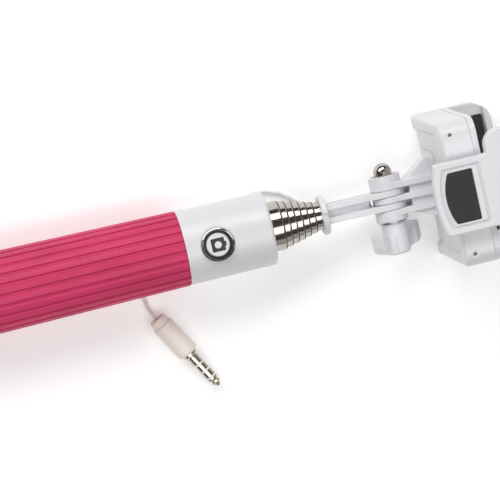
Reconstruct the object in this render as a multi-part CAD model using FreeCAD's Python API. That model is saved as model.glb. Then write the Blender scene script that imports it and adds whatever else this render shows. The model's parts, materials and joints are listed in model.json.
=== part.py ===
"""Telescopic selfie stick with a wired shutter button and a sprung phone clamp.

The stick lies on its end cap and on the clamp's lower jaw.
+X runs along the stick towards the clamp, +Y along the head's hinge towards the cap nut, +Z up.
The origin is under the middle of the object, on the surface that it lies on.  Millimetres.
"""
import FreeCAD, Part
import math
import os

# ---- driving dimensions -------------------------------------------------------------------
AXIS_Z = 14.0            # height of the stick's centre line
FIT = 0.03               # radial running clearance of the tubes
SHAFT_FIT = 0.05         # radial clearance of a screw or plunger in its hole

TAB_LENGTH = 6.0         # lanyard tab behind the end cap
TAB_THICKNESS = 4.0
TAB_HEIGHT = 9.0
LANYARD_HOLE_RADIUS = 1.75
CAP_LENGTH = 8.0
CAP_RADIUS = AXIS_Z

GRIP_LENGTH = 116.0
GRIP_RADIUS_BACK = 13.3
GRIP_RADIUS_FRONT = 11.8
GRIP_GROOVES = 24
GROOVE_WIDTH = 1.0
GROOVE_DEPTH = 0.7
CAP_OVER_GRIP = 2.0      # the sleeve's back end starts inside the end cap's rim

LINER_RADIUS = 9.5
LINER_WALL = 1.3
COLLAR_LENGTH = 27.8
COLLAR_RADIUS = 11.65
COLLAR_BORE = 9.6
COLLAR_FRONT_WALL = 2.5

BUTTON_FROM_FRONT = 18.0
BEZEL_RADIUS = 5.3
BEZEL_INNER_RADIUS = 4.65
BEZEL_HEIGHT = 0.75      # how far the ring stands above the collar
BUTTON_RADIUS = 3.65
BUTTON_TRAVEL = 0.3
SYMBOL_SIZE = 4.2
SYMBOL_LENS_RADIUS = 1.1
SYMBOL_DEPTH = 0.15

TUBE_COUNT = 7
TUBE_RADIUS_FIRST = 7.8
TUBE_RADIUS_STEP = 0.55
TUBE_WALL = 0.3
TUBE_FIRST_SHOWN = 3.8
TUBE_STEP_SHOWN = 2.1
TUBE_TAIL = 14.0         # from the end cap's back face to the tubes' tails
SEAM_WIDTH = 0.9
SEAM_DEPTH = 0.12
BUSH_LENGTH = 6.0

FLANGE_RADIUS = 6.35
FLANGE_THICKNESS = 2.0
FLANGE_NOTCH = 1.8
STUB_LENGTH = 12.0
PIN_RADIUS = 0.75
HINGE_FROM_FLANGE = 20.0  # from the flange's front face to the hinge
ARM_INNER_Y = 1.1
ARM_OUTER_Y = 3.1
ARM_HALF_HEIGHT = 3.0
EAR_RADIUS = 5.0
WEB_END_FROM_HINGE = 6.2
SILL_FROM_HINGE = 5.5    # the low sill of both webs, close to the round ears
WEB_LOW = 1.6            # the fork's web below and above the centre line
WEB_HIGH = 1.2
GROMMET_FROM_FLANGE = 3.0
GROMMET_LENGTH = 3.4
GROMMET_RADIUS = 1.0

CENTRE_PRONG_HALF = 1.0
SIDE_PRONG_INNER_Y = 3.2
SIDE_PRONG_OUTER_Y = 5.2
NUT_CUP_Y = 7.7
BOSS_Y = 6.7
BOSS_RADIUS = 5.0
NUT_FLATS = 7.0
NUT_FLOOR_Y = 4.7
NUT_DOME_RADIUS = 2.85
NUT_TOP_Y = 11.6
SCREW_RADIUS = 2.0       # M4
KNOB_END_Y = -17.3
KNOB_NECK_RADIUS = 3.8
WING_REACH = 10.4
WING_THICKNESS = 4.2
WING_ANGLE = 45.0        # the left wing points this far above the stick's line
WASHER_THICKNESS = 0.5
KNOB_GAP = 0.05          # axial clearance on each side of the washer
SCREW_HEAD_RADIUS = 3.0
SCREW_HEAD_Y = (-14.0, -12.0)

PLATE_FROM_HINGE = 14.5
CLAMP_WIDTH = 45.0
CLAMP_TOP = 46.5
RIM_WIDTH = 3.8           # raised rims at the back panel's ends
RIM_DEPTH = 1.0
PLATE_THICKNESS = 4.0
WALL = 2.2
BRIDGE_HEIGHT = 5.5
TOP_CORNER = 5.0
COVER_FROM_HINGE = 24.0
COVER_THICKNESS = 1.8
JAW_FRONT_FROM_HINGE = 38.5
JAW_GAP = 0.5            # between the closed upper jaw and the clamp's top
JAW_THICKNESS = 4.0
CROSSBAR_HALF = 18.0
TAB_HALF_WIDTH = 11.2
TAB_OVERHANG = 6.1       # how far the thumb tab reaches behind the back panel
TAB_BULGE = 1.9
INLAY_FRONT = 14.0       # the inlay stops this far short of the jaw's front
INLAY_INSET = 3.3
INLAY_DEPTH = 1.0
FOOT_THICKNESS = 4.0
PAD_THICKNESS = 1.0
LIP_HEIGHT = 3.5
ROD_RADIUS = 1.5
ROD_Y = 8.4
ROD_FROM_HINGE = 21.25
SPRING_Y = 3.4
SPRING_RADIUS = 1.9      # to the middle of the wire
SPRING_WIRE = 0.3
SPRING_TURNS = 16
SPRING_LOW = 6.6         # height of the springs' lower ends
ANCHOR_RADIUS = 1.2
ROD_BOTTOM = 5.0
ROD_STOP_RADIUS = 2.3
ROD_STOP_LENGTH = 1.6
BRACKET_SCREW_OFFSET = 6.2   # above and below the centre line
COVER_SCREW_Y = 14.5
COVER_SCREW_HEIGHT = 26.0

CORD_RADIUS = 0.7
PLUG_RADIUS = 3.4
PLUG_LENGTH = 15.0
JACK_RADIUS = 1.75
JACK_LENGTH = 14.0
JACK_SLEEVE_END = 4.2    # distances along the jack from the barrel's face
JACK_CONTACTS = (
    ("jack_ring_two", 4.8, 7.0),
    ("jack_ring_one", 7.6, 9.8),
)
JACK_TIP_START = 10.4

# ---- stations along the stick --------------------------------------------------------------
TOTAL_LENGTH = (TAB_LENGTH + CAP_LENGTH - CAP_OVER_GRIP + GRIP_LENGTH + COLLAR_LENGTH
                + TUBE_FIRST_SHOWN + (TUBE_COUNT - 1) * TUBE_STEP_SHOWN + FLANGE_THICKNESS
                + HINGE_FROM_FLANGE + JAW_FRONT_FROM_HINGE)
X_TAB = -TOTAL_LENGTH / 2
X_CAP = X_TAB + TAB_LENGTH
X_GRIP = X_CAP + CAP_LENGTH - CAP_OVER_GRIP
X_COLLAR = X_GRIP + GRIP_LENGTH
X_COLLAR_FRONT = X_COLLAR + COLLAR_LENGTH
X_BUTTON = X_COLLAR_FRONT - BUTTON_FROM_FRONT
X_CAP_SCREW = X_CAP + 4.3
X_TAIL = X_CAP + TUBE_TAIL
X_FLANGE = X_COLLAR_FRONT + TUBE_FIRST_SHOWN + (TUBE_COUNT - 1) * TUBE_STEP_SHOWN
X_FLANGE_FRONT = X_FLANGE + FLANGE_THICKNESS
X_HINGE = X_FLANGE_FRONT + HINGE_FROM_FLANGE
X_PLATE = X_HINGE + PLATE_FROM_HINGE
X_COVER = X_HINGE + COVER_FROM_HINGE
X_JAW_FRONT = X_HINGE + JAW_FRONT_FROM_HINGE
X_ROD = X_HINGE + ROD_FROM_HINGE
X_PIN = X_FLANGE - STUB_LENGTH / 2
X_GROMMET = X_FLANGE_FRONT + GROMMET_FROM_FLANGE
COLLAR_TOP = AXIS_Z + COLLAR_RADIUS
KNOB_TOP_Y = -BOSS_Y - WASHER_THICKNESS - 2 * KNOB_GAP
JAW_BASE = CLAMP_TOP + JAW_GAP
JAW_TOP = JAW_BASE + JAW_THICKNESS
BRACKET_SCREW_Z = (AXIS_Z - BRACKET_SCREW_OFFSET, AXIS_Z + BRACKET_SCREW_OFFSET)

X_DIRECTION = FreeCAD.Vector(1, 0, 0)
Y_DIRECTION = FreeCAD.Vector(0, 1, 0)
Z_DIRECTION = FreeCAD.Vector(0, 0, 1)


# ---- helpers ---------------------------------------------------------------------------------
def at(x, y, z):
    return FreeCAD.Vector(x, y, z)


def box(x_low, x_high, y_low, y_high, z_low, z_high):
    return Part.makeBox(x_high - x_low, y_high - y_low, z_high - z_low, at(x_low, y_low, z_low))


def rod_x(radius, x_low, x_high, y=0.0, z=AXIS_Z):
    return Part.makeCylinder(radius, x_high - x_low, at(x_low, y, z), X_DIRECTION)


def rod_y(radius, y_low, y_high, x, z=AXIS_Z):
    return Part.makeCylinder(radius, y_high - y_low, at(x, y_low, z), Y_DIRECTION)


def rod_z(radius, z_low, z_high, x, y=0.0):
    return Part.makeCylinder(radius, z_high - z_low, at(x, y, z_low), Z_DIRECTION)


def turned_x(outline):
    """Solid turned about the stick's centre line from (x, radius) corners."""
    points = [at(x, 0, AXIS_Z + radius) for x, radius in outline]
    face = Part.Face(Part.makePolygon(points + points[:1]))
    return face.revolve(at(0, 0, AXIS_Z), X_DIRECTION, 360)


def turned_z(outline, x):
    """Solid turned about the button's vertical line from (radius, z) corners."""
    points = [at(x + radius, 0, z) for radius, z in outline]
    face = Part.Face(Part.makePolygon(points + points[:1]))
    return face.revolve(at(x, 0, 0), Z_DIRECTION, 360)


def plate_xz(points, y_low, y_high):
    """Flat plate with the outline (x, z), from y_low to y_high."""
    corners = [at(x, y_low, z) for x, z in points]
    face = Part.Face(Part.makePolygon(corners + corners[:1]))
    return face.extrude(at(0, y_high - y_low, 0))


def plate_xy(points, z_low, z_high):
    """Flat plate with the outline (x, y), from z_low to z_high."""
    corners = [at(x, y, z_low) for x, y in points]
    face = Part.Face(Part.makePolygon(corners + corners[:1]))
    return face.extrude(at(0, 0, z_high - z_low))


def fuse(first, *others):
    return first.fuse(list(others)).removeSplitter()


def cut(body, *tools):
    return body.cut(list(tools))


def straight_edges(shape, direction, where=None):
    """Straight edges along a direction, those whose middle passes the test."""
    found = []
    for edge in shape.Edges:
        if not isinstance(edge.Curve, Part.Line):
            continue
        if abs(abs(edge.tangentAt(edge.FirstParameter).dot(direction)) - 1) > 1e-6:
            continue
        if where is None or where(edge.CenterOfMass):
            found.append(edge)
    return found


def tube_radius(number):
    return TUBE_RADIUS_FIRST - (number - 1) * TUBE_RADIUS_STEP


def tube_mouth(number):
    return X_COLLAR_FRONT + TUBE_FIRST_SHOWN + (number - 1) * TUBE_STEP_SHOWN


# ---- handle ----------------------------------------------------------------------------------
def grip_radius(x):
    share = (x - X_GRIP) / GRIP_LENGTH
    return GRIP_RADIUS_BACK + (GRIP_RADIUS_FRONT - GRIP_RADIUS_BACK) * share


def grip_sleeve():
    """Soft tapered sleeve with straight grooves all round."""
    edge = 0.6
    sleeve = turned_x([
        (X_GRIP, LINER_RADIUS),
        (X_GRIP, grip_radius(X_GRIP)),
        (X_COLLAR - edge, grip_radius(X_COLLAR - edge)),
        (X_COLLAR, GRIP_RADIUS_FRONT - edge),
        (X_COLLAR, LINER_RADIUS),
    ])
    taper = math.degrees(math.atan2(GRIP_RADIUS_BACK - GRIP_RADIUS_FRONT, GRIP_LENGTH))
    groove = box(X_GRIP - 1, X_COLLAR + 1, -GROOVE_WIDTH / 2, GROOVE_WIDTH / 2,
                 AXIS_Z + GRIP_RADIUS_BACK - GROOVE_DEPTH, AXIS_Z + GRIP_RADIUS_BACK + 3)
    groove.rotate(at(X_GRIP, 0, AXIS_Z + GRIP_RADIUS_BACK - GROOVE_DEPTH), Y_DIRECTION, taper)
    grooves = []
    for index in range(GRIP_GROOVES):
        turned = groove.copy()
        turned.rotate(at(0, 0, AXIS_Z), X_DIRECTION, 360.0 * index / GRIP_GROOVES)
        grooves.append(turned)
    return cut(sleeve, *grooves)


def handle_liner():
    """Stiff tube under the sleeve; it carries the collar and the root tube."""
    outer = rod_x(LINER_RADIUS, X_CAP + 3, X_COLLAR + 2)
    bore = rod_x(LINER_RADIUS - LINER_WALL, X_CAP + 2, X_COLLAR + 3)
    return cut(outer, bore, rod_y(0.8, 3, CAP_RADIUS, X_CAP_SCREW))


def end_cap():
    """Flared cap with a tab for a wrist lanyard; the handle lies on its rim."""
    round_edge = 1.6
    body = turned_x([
        (X_CAP, 0),
        (X_CAP, CAP_RADIUS - round_edge),
        (X_CAP + 0.47 * round_edge, CAP_RADIUS - 0.47 * round_edge),
        (X_CAP + round_edge, CAP_RADIUS),
        (X_GRIP, CAP_RADIUS),
        (X_GRIP, LINER_RADIUS),
        (X_CAP + 3, LINER_RADIUS),
        (X_CAP + 3, 0),
    ])
    half = TAB_THICKNESS / 2
    tab = box(X_TAB, X_CAP + 1, -half, half, AXIS_Z - TAB_HEIGHT / 2, AXIS_Z + TAB_HEIGHT / 2)
    corners = straight_edges(tab, Y_DIRECTION, lambda middle: middle.x < X_TAB + 0.1)
    tab = tab.makeFillet(3.0, corners)
    hole = rod_y(LANYARD_HOLE_RADIUS, -half - 1, half + 1, X_TAB + TAB_LENGTH / 2)
    screw_hole = rod_y(0.8, 0, CAP_RADIUS + 1, X_CAP_SCREW)
    head_hole = rod_y(1.45, CAP_RADIUS - 1.4, CAP_RADIUS + 1, X_CAP_SCREW)
    return cut(fuse(body, tab), hole, screw_hole, head_hole)


def end_plug():
    """Nylon plug in the liner's back end; the cap's screw bites into it."""
    plug = rod_x(LINER_RADIUS - LINER_WALL, X_CAP + 3, X_TAIL - 3)
    return cut(plug, rod_y(0.8, 3, CAP_RADIUS, X_CAP_SCREW))


def end_cap_screw():
    """Cross-slot screw through the cap's rim and the liner."""
    shank = rod_y(0.75, 3.2, CAP_RADIUS - 1.4, X_CAP_SCREW)
    head = rod_y(1.4, CAP_RADIUS - 1.4, CAP_RADIUS - 0.35, X_CAP_SCREW)
    slot_y = (CAP_RADIUS - 0.8, CAP_RADIUS)
    slot_a = box(X_CAP_SCREW - 1.0, X_CAP_SCREW + 1.0, *slot_y, AXIS_Z - 0.2, AXIS_Z + 0.2)
    slot_b = box(X_CAP_SCREW - 0.2, X_CAP_SCREW + 0.2, *slot_y, AXIS_Z - 1.0, AXIS_Z + 1.0)
    return cut(fuse(shank, head), slot_a, slot_b)


def collar_shell():
    """White collar with the button's seat on top and a rounded front edge."""
    edge = 1.2
    shell = rod_x(COLLAR_RADIUS, X_COLLAR, X_COLLAR_FRONT)
    rims = [e for e in shell.Edges if abs(e.CenterOfMass.x - X_COLLAR_FRONT) < 1e-6]
    shell = shell.makeFillet(edge, rims)
    cavity = rod_x(COLLAR_BORE, X_COLLAR - 1, X_COLLAR_FRONT - COLLAR_FRONT_WALL)
    mouth = rod_x(TUBE_RADIUS_FIRST, X_COLLAR - 1, X_COLLAR_FRONT + 1)
    seat = rod_z(BEZEL_RADIUS, COLLAR_TOP - 0.7, COLLAR_TOP + 3, X_BUTTON)
    well = rod_z(4.5, COLLAR_TOP - 4, COLLAR_TOP, X_BUTTON)
    return cut(shell, cavity, mouth, seat, well)


def bush(x_low, x_high, inner, outer):
    return cut(rod_x(outer, x_low, x_high), rod_x(inner, x_low - 1, x_high + 1))


def button_bezel():
    """Chromed ring round the button, sloping in to the gap."""
    base = COLLAR_TOP - 0.7
    top = COLLAR_TOP + BEZEL_HEIGHT
    return turned_z([
        (BEZEL_INNER_RADIUS - 0.3, base),
        (BEZEL_RADIUS, base),
        (BEZEL_RADIUS, top - 0.35),
        (BEZEL_RADIUS - 0.12, top - 0.1),
        (BEZEL_RADIUS - 0.3, top),
        (BEZEL_INNER_RADIUS + 0.12, top - 0.08),
        (BEZEL_INNER_RADIUS - 0.1, top - 0.3),
        (BEZEL_INNER_RADIUS - 0.3, top - 0.75),
    ], X_BUTTON)


def button_gasket():
    """Black ring in the gap between the chromed ring and the button."""
    base = COLLAR_TOP - 0.7
    outer = rod_z(BEZEL_INNER_RADIUS - 0.3, base, COLLAR_TOP - 0.1, X_BUTTON)
    return cut(outer, rod_z(BUTTON_RADIUS + 0.1, base - 1, COLLAR_TOP + 1, X_BUTTON))


def button_top():
    return COLLAR_TOP + 0.65


def symbol_outline(z_low, z_high):
    """Camera symbol: a rounded square with a viewfinder bump that faces the clamp."""
    half = SYMBOL_SIZE / 2
    square = box(X_BUTTON - half, X_BUTTON + half, -half, half, z_low, z_high)
    square = square.makeFillet(0.35, straight_edges(square, Z_DIRECTION))
    bump = box(X_BUTTON, X_BUTTON + half + 0.5, -0.75, 0.75, z_low, z_high)
    lens = rod_z(SYMBOL_LENS_RADIUS, z_low - 1, z_high + 1, X_BUTTON)
    return cut(fuse(square, bump), lens)


def button_cap():
    """Round push button, kept in by its flange, with a pocket for the symbol."""
    top = button_top()
    base = COLLAR_TOP - 1.15
    body = turned_z([
        (0, base),
        (BUTTON_RADIUS + 0.5, base),
        (BUTTON_RADIUS + 0.5, base + 0.4),
        (BUTTON_RADIUS, base + 0.4),
        (BUTTON_RADIUS, top - 0.35),
        (BUTTON_RADIUS - 0.12, top - 0.12),
        (BUTTON_RADIUS - 0.4, top),
        (0, top),
    ], X_BUTTON)
    return cut(body, symbol_outline(top - SYMBOL_DEPTH, top + 1))


def button_symbol():
    top = button_top()
    return symbol_outline(top - SYMBOL_DEPTH, top)


def switch_board():
    """Little circuit board under the button."""
    return box(X_BUTTON - 7, X_BUTTON + 7, -3.9, 3.9, AXIS_Z + 8.05, AXIS_Z + 8.65)


def switch_body():
    """Tactile switch on the board, with a hole for its plunger."""
    base = AXIS_Z + 8.65
    body = box(X_BUTTON - 1.75, X_BUTTON + 1.75, -1.75, 1.75, base, base + 1.2)
    return cut(body, rod_z(0.8 + SHAFT_FIT, base + 0.3, base + 2, X_BUTTON))


def switch_plunger():
    return rod_z(0.8, AXIS_Z + 9.4, COLLAR_TOP - 1.15, X_BUTTON)


# ---- telescopic tubes --------------------------------------------------------------------------
def tube(number):
    """One drawn tube; every tube but the last is crimped in at its mouth."""
    outer = tube_radius(number)
    inner = outer - TUBE_WALL
    mouth = tube_mouth(number)
    tail = X_TAIL
    if number == TUBE_COUNT:
        shell = cut(rod_x(outer, tail, mouth), rod_x(inner, tail - 1, mouth + 1))
        shell = cut(shell, rod_y(PIN_RADIUS, -outer - 1, outer + 1, X_PIN))
    else:
        shell = crimped_tube(outer, inner, tail, mouth)
    seam = box(tail - 1, mouth + 1, -SEAM_WIDTH / 2, SEAM_WIDTH / 2,
               AXIS_Z + outer - SEAM_DEPTH, AXIS_Z + outer + 1)
    return cut(shell, seam)


def crimped_tube(outer, inner, tail, mouth):
    """Tube whose mouth curls in to guide the next tube."""
    lip = outer - TUBE_RADIUS_STEP + FIT
    curl = outer - lip
    middle_x = mouth - curl * (1 - math.sqrt(0.5))
    middle_r = outer - curl * (1 - math.sqrt(0.5))
    corners = [
        at(mouth - curl, 0, AXIS_Z + outer),
        at(mouth, 0, AXIS_Z + lip),
        at(mouth - curl, 0, AXIS_Z + lip),
        at(mouth - curl - 0.4, 0, AXIS_Z + inner),
        at(tail, 0, AXIS_Z + inner),
        at(tail, 0, AXIS_Z + outer),
    ]
    arc = Part.Arc(corners[0], at(middle_x, 0, AXIS_Z + middle_r), corners[1]).toShape()
    sides = [Part.makeLine(a, b) for a, b in zip(corners[1:], corners[2:] + corners[:1])]
    face = Part.Face(Part.Wire([arc] + sides))
    return face.revolve(at(0, 0, AXIS_Z), X_DIRECTION, 360)


def tail_bush(number):
    """Nylon ring on a sliding tube's tail that fills the gap to the tube outside it."""
    outer = tube_radius(number - 1) - TUBE_WALL - FIT
    return bush(X_TAIL, X_TAIL + BUSH_LENGTH, tube_radius(number), outer)


# ---- fork end ------------------------------------------------------------------------------------
def arm_side(low_y, high_y):
    """Fork arm seen from the side: slim, then swelling in a soft S to its round ear."""
    start = X_FLANGE_FRONT - 0.5
    neck = X_HINGE - 10.0
    swell = X_HINGE - 5.5
    slim = ARM_HALF_HEIGHT
    half_way = (slim + EAR_RADIUS) / 2 - 0.1
    upper = Part.BSplineCurve()
    upper.interpolate([
        at(start, low_y, AXIS_Z + slim),
        at(neck, low_y, AXIS_Z + slim),
        at(swell, low_y, AXIS_Z + half_way),
        at(X_HINGE, low_y, AXIS_Z + EAR_RADIUS),
    ], InitialTangent=X_DIRECTION, FinalTangent=X_DIRECTION)
    lower = upper.toShape().mirror(at(0, 0, AXIS_Z), Z_DIRECTION)
    ear = Part.Arc(at(X_HINGE, low_y, AXIS_Z + EAR_RADIUS),
                   at(X_HINGE + EAR_RADIUS, low_y, AXIS_Z),
                   at(X_HINGE, low_y, AXIS_Z - EAR_RADIUS)).toShape()
    back = Part.makeLine(at(start, low_y, AXIS_Z - slim), at(start, low_y, AXIS_Z + slim))
    wire = Part.Wire(Part.__sortEdges__([upper.toShape(), ear, lower, back]))
    return Part.Face(wire).extrude(at(0, high_y - low_y, 0))


def fork_end():
    """Plug of the last tube: stub, round flange and the two arms of the hinge."""
    stub = rod_x(tube_radius(TUBE_COUNT) - TUBE_WALL, X_FLANGE - STUB_LENGTH, X_FLANGE + 0.5)
    flange = rod_x(FLANGE_RADIUS, X_FLANGE, X_FLANGE_FRONT)
    flange = flange.makeFillet(0.6, [e for e in flange.Edges if e.Closed])
    parts = [flange]
    for side in (-1, 1):
        low, high = sorted((side * ARM_INNER_Y, side * ARM_OUTER_Y))
        parts.append(arm_side(low, high))
    web_end = X_HINGE - WEB_END_FROM_HINGE
    parts.append(box(X_FLANGE_FRONT - 0.5, web_end, -ARM_INNER_Y, ARM_INNER_Y,
                     AXIS_Z - WEB_LOW, AXIS_Z + WEB_HIGH))
    parts.append(box(web_end - 1.0, X_HINGE - SILL_FROM_HINGE, -ARM_INNER_Y, ARM_INNER_Y,
                     AXIS_Z - WEB_LOW, AXIS_Z - 0.4))
    body = fuse(stub, *parts)
    half = FLANGE_NOTCH / 2
    notch = box(X_FLANGE - 0.01, X_FLANGE_FRONT + 1, -half, half, AXIS_Z + 5.0, AXIS_Z + 8)
    recesses = [
        box(X_FLANGE_FRONT + 1.0, X_HINGE - 7.5, low, low + 1.0, AXIS_Z - 1.8, AXIS_Z + 1.8)
        for low in (-ARM_OUTER_Y - 0.6, ARM_OUTER_Y - 0.4)
    ]
    hinge_hole = rod_y(SCREW_RADIUS + SHAFT_FIT, -6, 6, X_HINGE)
    pin_hole = rod_y(PIN_RADIUS, -6, 6, X_PIN)
    lead_hole = rod_z(GROMMET_RADIUS, AXIS_Z - 5, AXIS_Z + 0.5, X_GROMMET)
    return cut(body, notch, hinge_hole, pin_hole, lead_hole, *recesses)


def fork_pin():
    """Pin through the last tube and the fork's stub."""
    reach = tube_radius(TUBE_COUNT) - 0.05
    return rod_y(PIN_RADIUS, -reach, reach, X_PIN)


def cord_grommet():
    """Small tapered strain relief under the fork's web."""
    top = AXIS_Z - WEB_LOW
    rim = GROMMET_RADIUS + 0.09
    plug = rod_z(GROMMET_RADIUS, top, AXIS_Z + 0.5, X_GROMMET)
    collar = rod_z(rim, top - 0.4, top, X_GROMMET)
    cone = Part.makeCone(0.8, rim, GROMMET_LENGTH - 0.4, at(X_GROMMET, 0, top - GROMMET_LENGTH),
                         Z_DIRECTION)
    return fuse(plug, collar, cone)


# ---- head ----------------------------------------------------------------------------------------
def prong_outline():
    """Side outline (x, z) of a head prong from its round nose to the clamp."""
    return [
        (X_HINGE, AXIS_Z - EAR_RADIUS),
        (X_HINGE + 5, AXIS_Z - 4.0),
        (X_PLATE, AXIS_Z - 4.5),
        (X_PLATE, AXIS_Z + 4.5),
        (X_HINGE + 5, AXIS_Z + 4.0),
        (X_HINGE, AXIS_Z + EAR_RADIUS),
    ]


def hexagon_y(flats, y_low, y_high):
    corner = flats / math.sqrt(3)
    points = []
    for index in range(6):
        angle = math.radians(60 * index)
        points.append((X_HINGE + corner * math.cos(angle), AXIS_Z + corner * math.sin(angle)))
    return plate_xz(points, y_low, y_high)


def gusset(y_inner, y_outer, half_height):
    """Wedge from a side prong out to the bracket's foot, seen along Z."""
    points = [
        (X_HINGE + 5.4, y_inner),
        (X_PLATE - 1.4, y_outer),
        (X_PLATE, y_outer),
        (X_PLATE, y_inner),
    ]
    return plate_xy(points, AXIS_Z - half_height, AXIS_Z + half_height)


def head_bracket():
    """Three prongs that mesh with the fork, the nut's cup and the foot for the clamp."""
    prongs = (
        (-CENTRE_PRONG_HALF, CENTRE_PRONG_HALF),
        (SIDE_PRONG_INNER_Y, SIDE_PRONG_OUTER_Y),
        (-SIDE_PRONG_OUTER_Y, -SIDE_PRONG_INNER_Y),
    )
    parts = []
    for low, high in prongs:
        parts.append(plate_xz(prong_outline(), low, high))
        parts.append(rod_y(EAR_RADIUS, low, high, X_HINGE))
    parts.append(rod_y(BOSS_RADIUS, SIDE_PRONG_INNER_Y, NUT_CUP_Y, X_HINGE))
    parts.append(rod_y(BOSS_RADIUS, -BOSS_Y, -SIDE_PRONG_INNER_Y, X_HINGE))
    parts.append(box(X_HINGE + 6.8, X_PLATE, -SIDE_PRONG_OUTER_Y, SIDE_PRONG_OUTER_Y,
                     AXIS_Z - 3.0, AXIS_Z + 3.0))
    parts.append(box(X_HINGE + SILL_FROM_HINGE, X_HINGE + 7.3, -SIDE_PRONG_OUTER_Y,
                     SIDE_PRONG_OUTER_Y, AXIS_Z - 3.0, AXIS_Z - 0.4))
    parts.append(gusset(SIDE_PRONG_OUTER_Y - 0.5, 10.5, 3.4))
    parts.append(gusset(-SIDE_PRONG_OUTER_Y + 0.5, -8.0, 3.4))
    foot = box(X_PLATE, X_PLATE + RIM_DEPTH, -9.5, 12.0, AXIS_Z - 8.0, AXIS_Z + 8.0)
    foot = foot.makeFillet(2.5, straight_edges(foot, X_DIRECTION))
    body = fuse(foot, *parts)
    pocket = hexagon_y(NUT_FLATS + 0.1, NUT_FLOOR_Y, NUT_CUP_Y + 1)
    bore = rod_y(SCREW_RADIUS + SHAFT_FIT, -8, 8, X_HINGE)
    holes = [rod_x(1.0, X_PLATE - 2, X_PLATE + 2, 0.0, z) for z in BRACKET_SCREW_Z]
    return cut(body, pocket, bore, *holes)


def bracket_screws():
    """Two screws from inside the clamp's back plate into the bracket's foot."""
    screws = []
    for z in BRACKET_SCREW_Z:
        shank = rod_x(0.95, X_PLATE + 0.1, X_PLATE + 2.4, 0.0, z)
        head = rod_x(1.8, X_PLATE + 2.4, X_PLATE + 3.6, 0.0, z)
        screws.append(fuse(shank, head))
    return Part.makeCompound(screws)


def cap_nut():
    """Domed hexagon nut, held in the bracket's cup."""
    hexagon = hexagon_y(NUT_FLATS, NUT_FLOOR_Y, NUT_FLOOR_Y + 3.2)
    neck = rod_y(NUT_DOME_RADIUS, NUT_FLOOR_Y + 3.0, NUT_TOP_Y - NUT_DOME_RADIUS, X_HINGE)
    dome = Part.makeSphere(NUT_DOME_RADIUS, at(X_HINGE, NUT_TOP_Y - NUT_DOME_RADIUS, AXIS_Z))
    half = box(X_HINGE - 4, X_HINGE + 4, NUT_TOP_Y - NUT_DOME_RADIUS, NUT_TOP_Y + 1,
               AXIS_Z - 4, AXIS_Z + 4)
    body = fuse(hexagon, neck, dome.common(half))
    return cut(body, rod_y(SCREW_RADIUS + SHAFT_FIT, NUT_FLOOR_Y - 1, NUT_TOP_Y - 2.5, X_HINGE))


def hinge_screw():
    """M4 screw: its head is moulded into the knob and its end turns in the cap nut."""
    shank = rod_y(SCREW_RADIUS, SCREW_HEAD_Y[1], NUT_TOP_Y - 3.4, X_HINGE)
    head = rod_y(SCREW_HEAD_RADIUS, *SCREW_HEAD_Y, X_HINGE)
    return fuse(shank, head)


def knob_washer():
    outer = rod_y(4.4, -BOSS_Y - KNOB_GAP - WASHER_THICKNESS, -BOSS_Y - KNOB_GAP, X_HINGE)
    return cut(outer, rod_y(SCREW_RADIUS + SHAFT_FIT, -9, 0, X_HINGE))


def wing_outline():
    """Outline (x, y) of the knob's two wings about the hinge, with a rounded bottom."""
    right = [
        (2.5, -11.6),
        (WING_REACH - 3.6, -10.4),
        (WING_REACH - 2.2, -9.0),
        (WING_REACH - 1.0, -8.7),
        (WING_REACH - 0.2, -9.3),
        (WING_REACH, -10.6),
        (WING_REACH, -13.4),
        (WING_REACH - 0.3, -14.6),
        (WING_REACH - 1.4, -15.4),
        (6.4, -16.3),
        (3.2, -17.1),
        (0.0, KNOB_END_Y),
    ]
    left = [(-x, y) for x, y in reversed(right[:-1])]
    return right + left


def wing_knob():
    """Knob with a round neck and two thumb wings with beaded ends."""
    neck = rod_y(KNOB_NECK_RADIUS, KNOB_END_Y, KNOB_TOP_Y, X_HINGE)
    bottom = [e for e in neck.Edges if abs(e.CenterOfMass.y - KNOB_END_Y) < 1e-6 and e.Closed]
    neck = neck.makeFillet(1.0, bottom)
    points = [(X_HINGE + x, y) for x, y in wing_outline()]
    half = WING_THICKNESS / 2
    wings = plate_xy(points, AXIS_Z - half, AXIS_Z + half)
    scoops = []
    for side in (-1, 1):
        for face in (-1, 1):
            middle = X_HINGE + side * 5.7
            z = AXIS_Z + face * 3.0
            scoops.append(rod_y(2.3, -20, -5, middle, z))
    wings = cut(wings, *scoops)
    body = fuse(neck, wings)
    shank_space = rod_y(SCREW_RADIUS, SCREW_HEAD_Y[1], KNOB_TOP_Y + 1, X_HINGE)
    head_space = rod_y(SCREW_HEAD_RADIUS, *SCREW_HEAD_Y, X_HINGE)
    body = cut(body, fuse(shank_space, head_space))
    body.rotate(at(X_HINGE, 0, AXIS_Z), Y_DIRECTION, WING_ANGLE)
    return body


# ---- clamp ---------------------------------------------------------------------------------------
def clamp_shell():
    """Open-fronted box of the clamp: a soft-edged back panel, side walls and a top bridge."""
    half = CLAMP_WIDTH / 2
    shell = box(X_PLATE, X_COVER, -half, half, 0, CLAMP_TOP)
    shell = shell.makeFillet(TOP_CORNER, straight_edges(shell, X_DIRECTION,
                                                        lambda middle: middle.z > CLAMP_TOP - 1))
    back_edges = [e for e in shell.Edges
                  if e.BoundBox.XMax < X_PLATE + 1e-6 and e.CenterOfMass.z > 1]
    shell = shell.makeFillet(1.0, back_edges)
    hollow = box(X_PLATE + PLATE_THICKNESS, X_COVER + 1, -half + WALL, half - WALL,
                 FOOT_THICKNESS, CLAMP_TOP - BRIDGE_HEIGHT)
    return cut(shell, hollow)


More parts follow.
